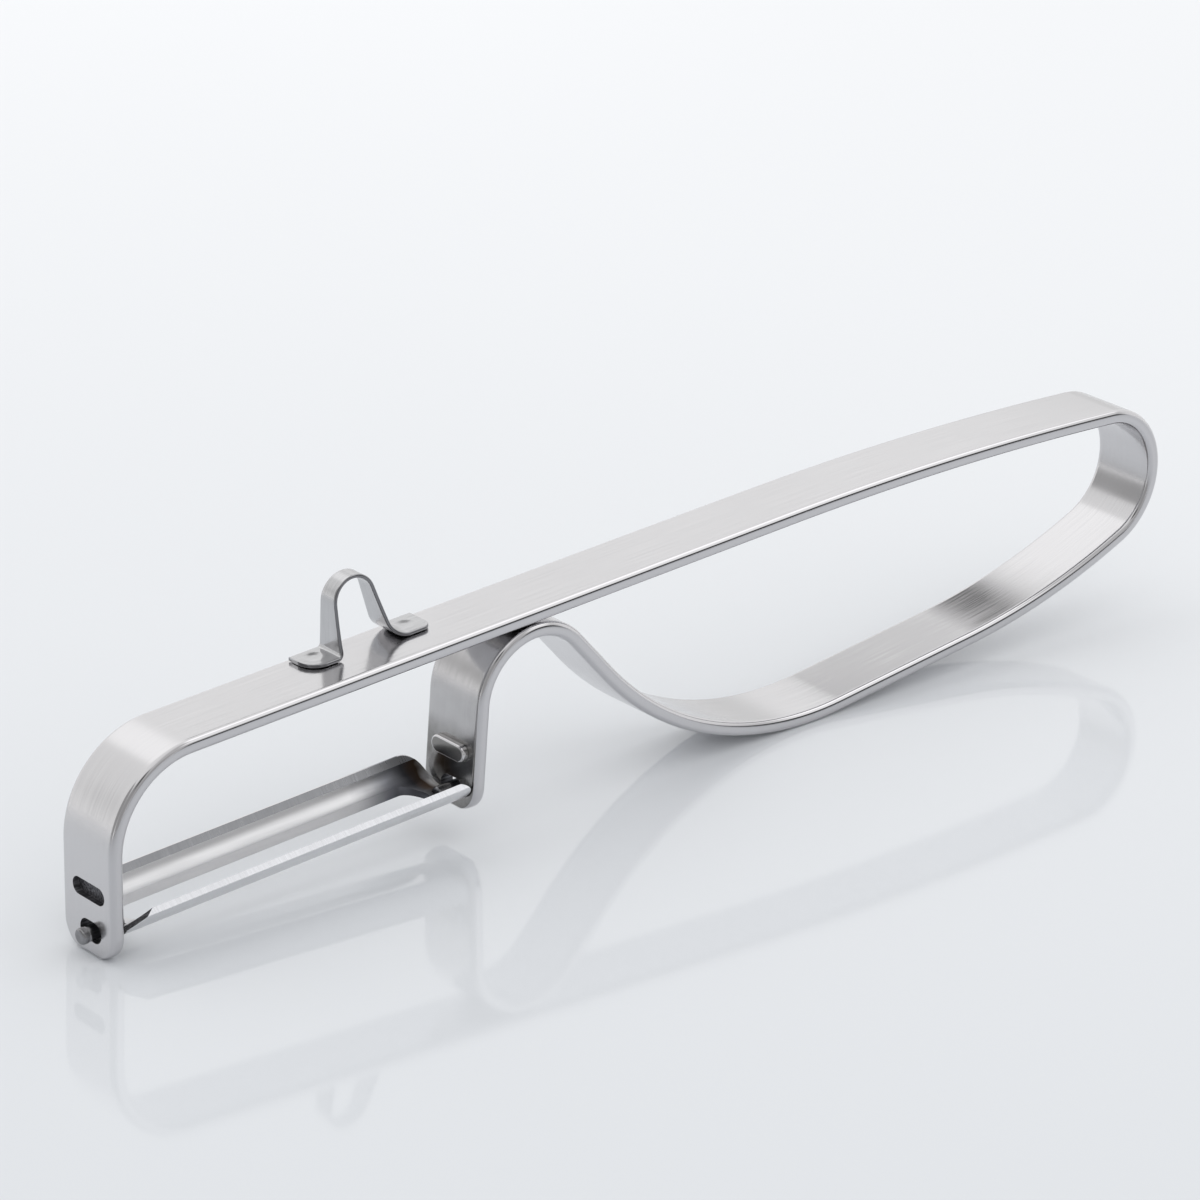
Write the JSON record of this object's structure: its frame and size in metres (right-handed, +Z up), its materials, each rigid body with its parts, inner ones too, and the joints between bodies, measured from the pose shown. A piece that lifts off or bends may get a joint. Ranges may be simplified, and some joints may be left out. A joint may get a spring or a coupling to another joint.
{
  "type": "swivel vegetable peeler",
  "caption": "Vegetable peeler bent from one flat steel strip, with a trough blade that swings between its two legs and a bent band on top for taking out eyes.",
  "frame": {"origin": "centre of the bounding box at table height: the peeler stands on its front leg and its belly", "axes": "+X from the front leg toward the tail, +Y toward the side that the eye remover stands on, +Z up from the table"},
  "size_m": [0.1824, 0.0108, 0.0383],
  "materials": {
    "strip": "satin brushed stainless strip with tumbled edges",
    "band": "thin bright stainless band",
    "blade": "polished stainless blade with ground edges",
    "pin": "turned stainless pin"
  },
  "bodies": {
    "frame": {"frame_strip": "strip", "eye_remover_loop": "band"},
    "blade_carrier": {"blade": "blade", "pivot_pin_front": "pin", "pivot_pin_rear": "pin"}
  },
  "joints": [
    {"name": "blade_swing", "type": "hinge", "parent": "frame", "child": "blade_carrier", "pos_m": [-0.0605, -0.0006, 0.00455], "axis": [0.9987, 0, 0.0513], "range_deg": [-26, 22]}
  ]
}
